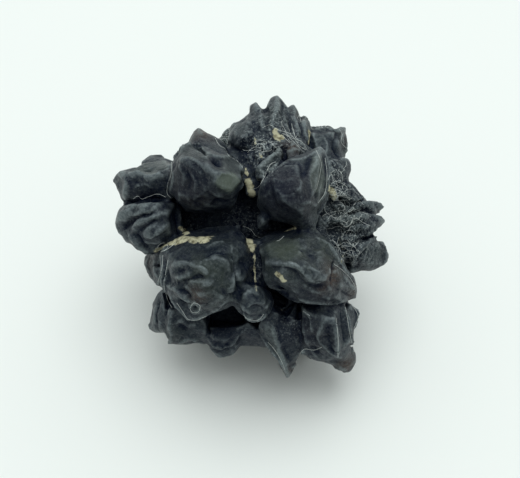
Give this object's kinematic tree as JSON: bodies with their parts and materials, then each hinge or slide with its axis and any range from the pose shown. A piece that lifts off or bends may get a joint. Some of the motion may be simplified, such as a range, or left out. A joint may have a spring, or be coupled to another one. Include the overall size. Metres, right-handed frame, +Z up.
{
  "type": "marcasite nodule",
  "caption": "Fist-like natural nodule of blocky dark marcasite crystals with blunt points and deep creases, resting on three worn feet.",
  "frame": {"origin": "on the ground, under the middle of the nodule's bounding box", "axes": "+Z up from the ground, +X to the right across the show face, which looks towards -Y and 50 degrees up"},
  "size_m": [0.0556, 0.0516, 0.0506],
  "materials": {
    "marcasite": "dark blue-grey tarnished crystal, satin, with cream clay in the creases and rusty brown points"
  },
  "bodies": {
    "root": {"nodule": "marcasite"}
  },
  "joints": []
}
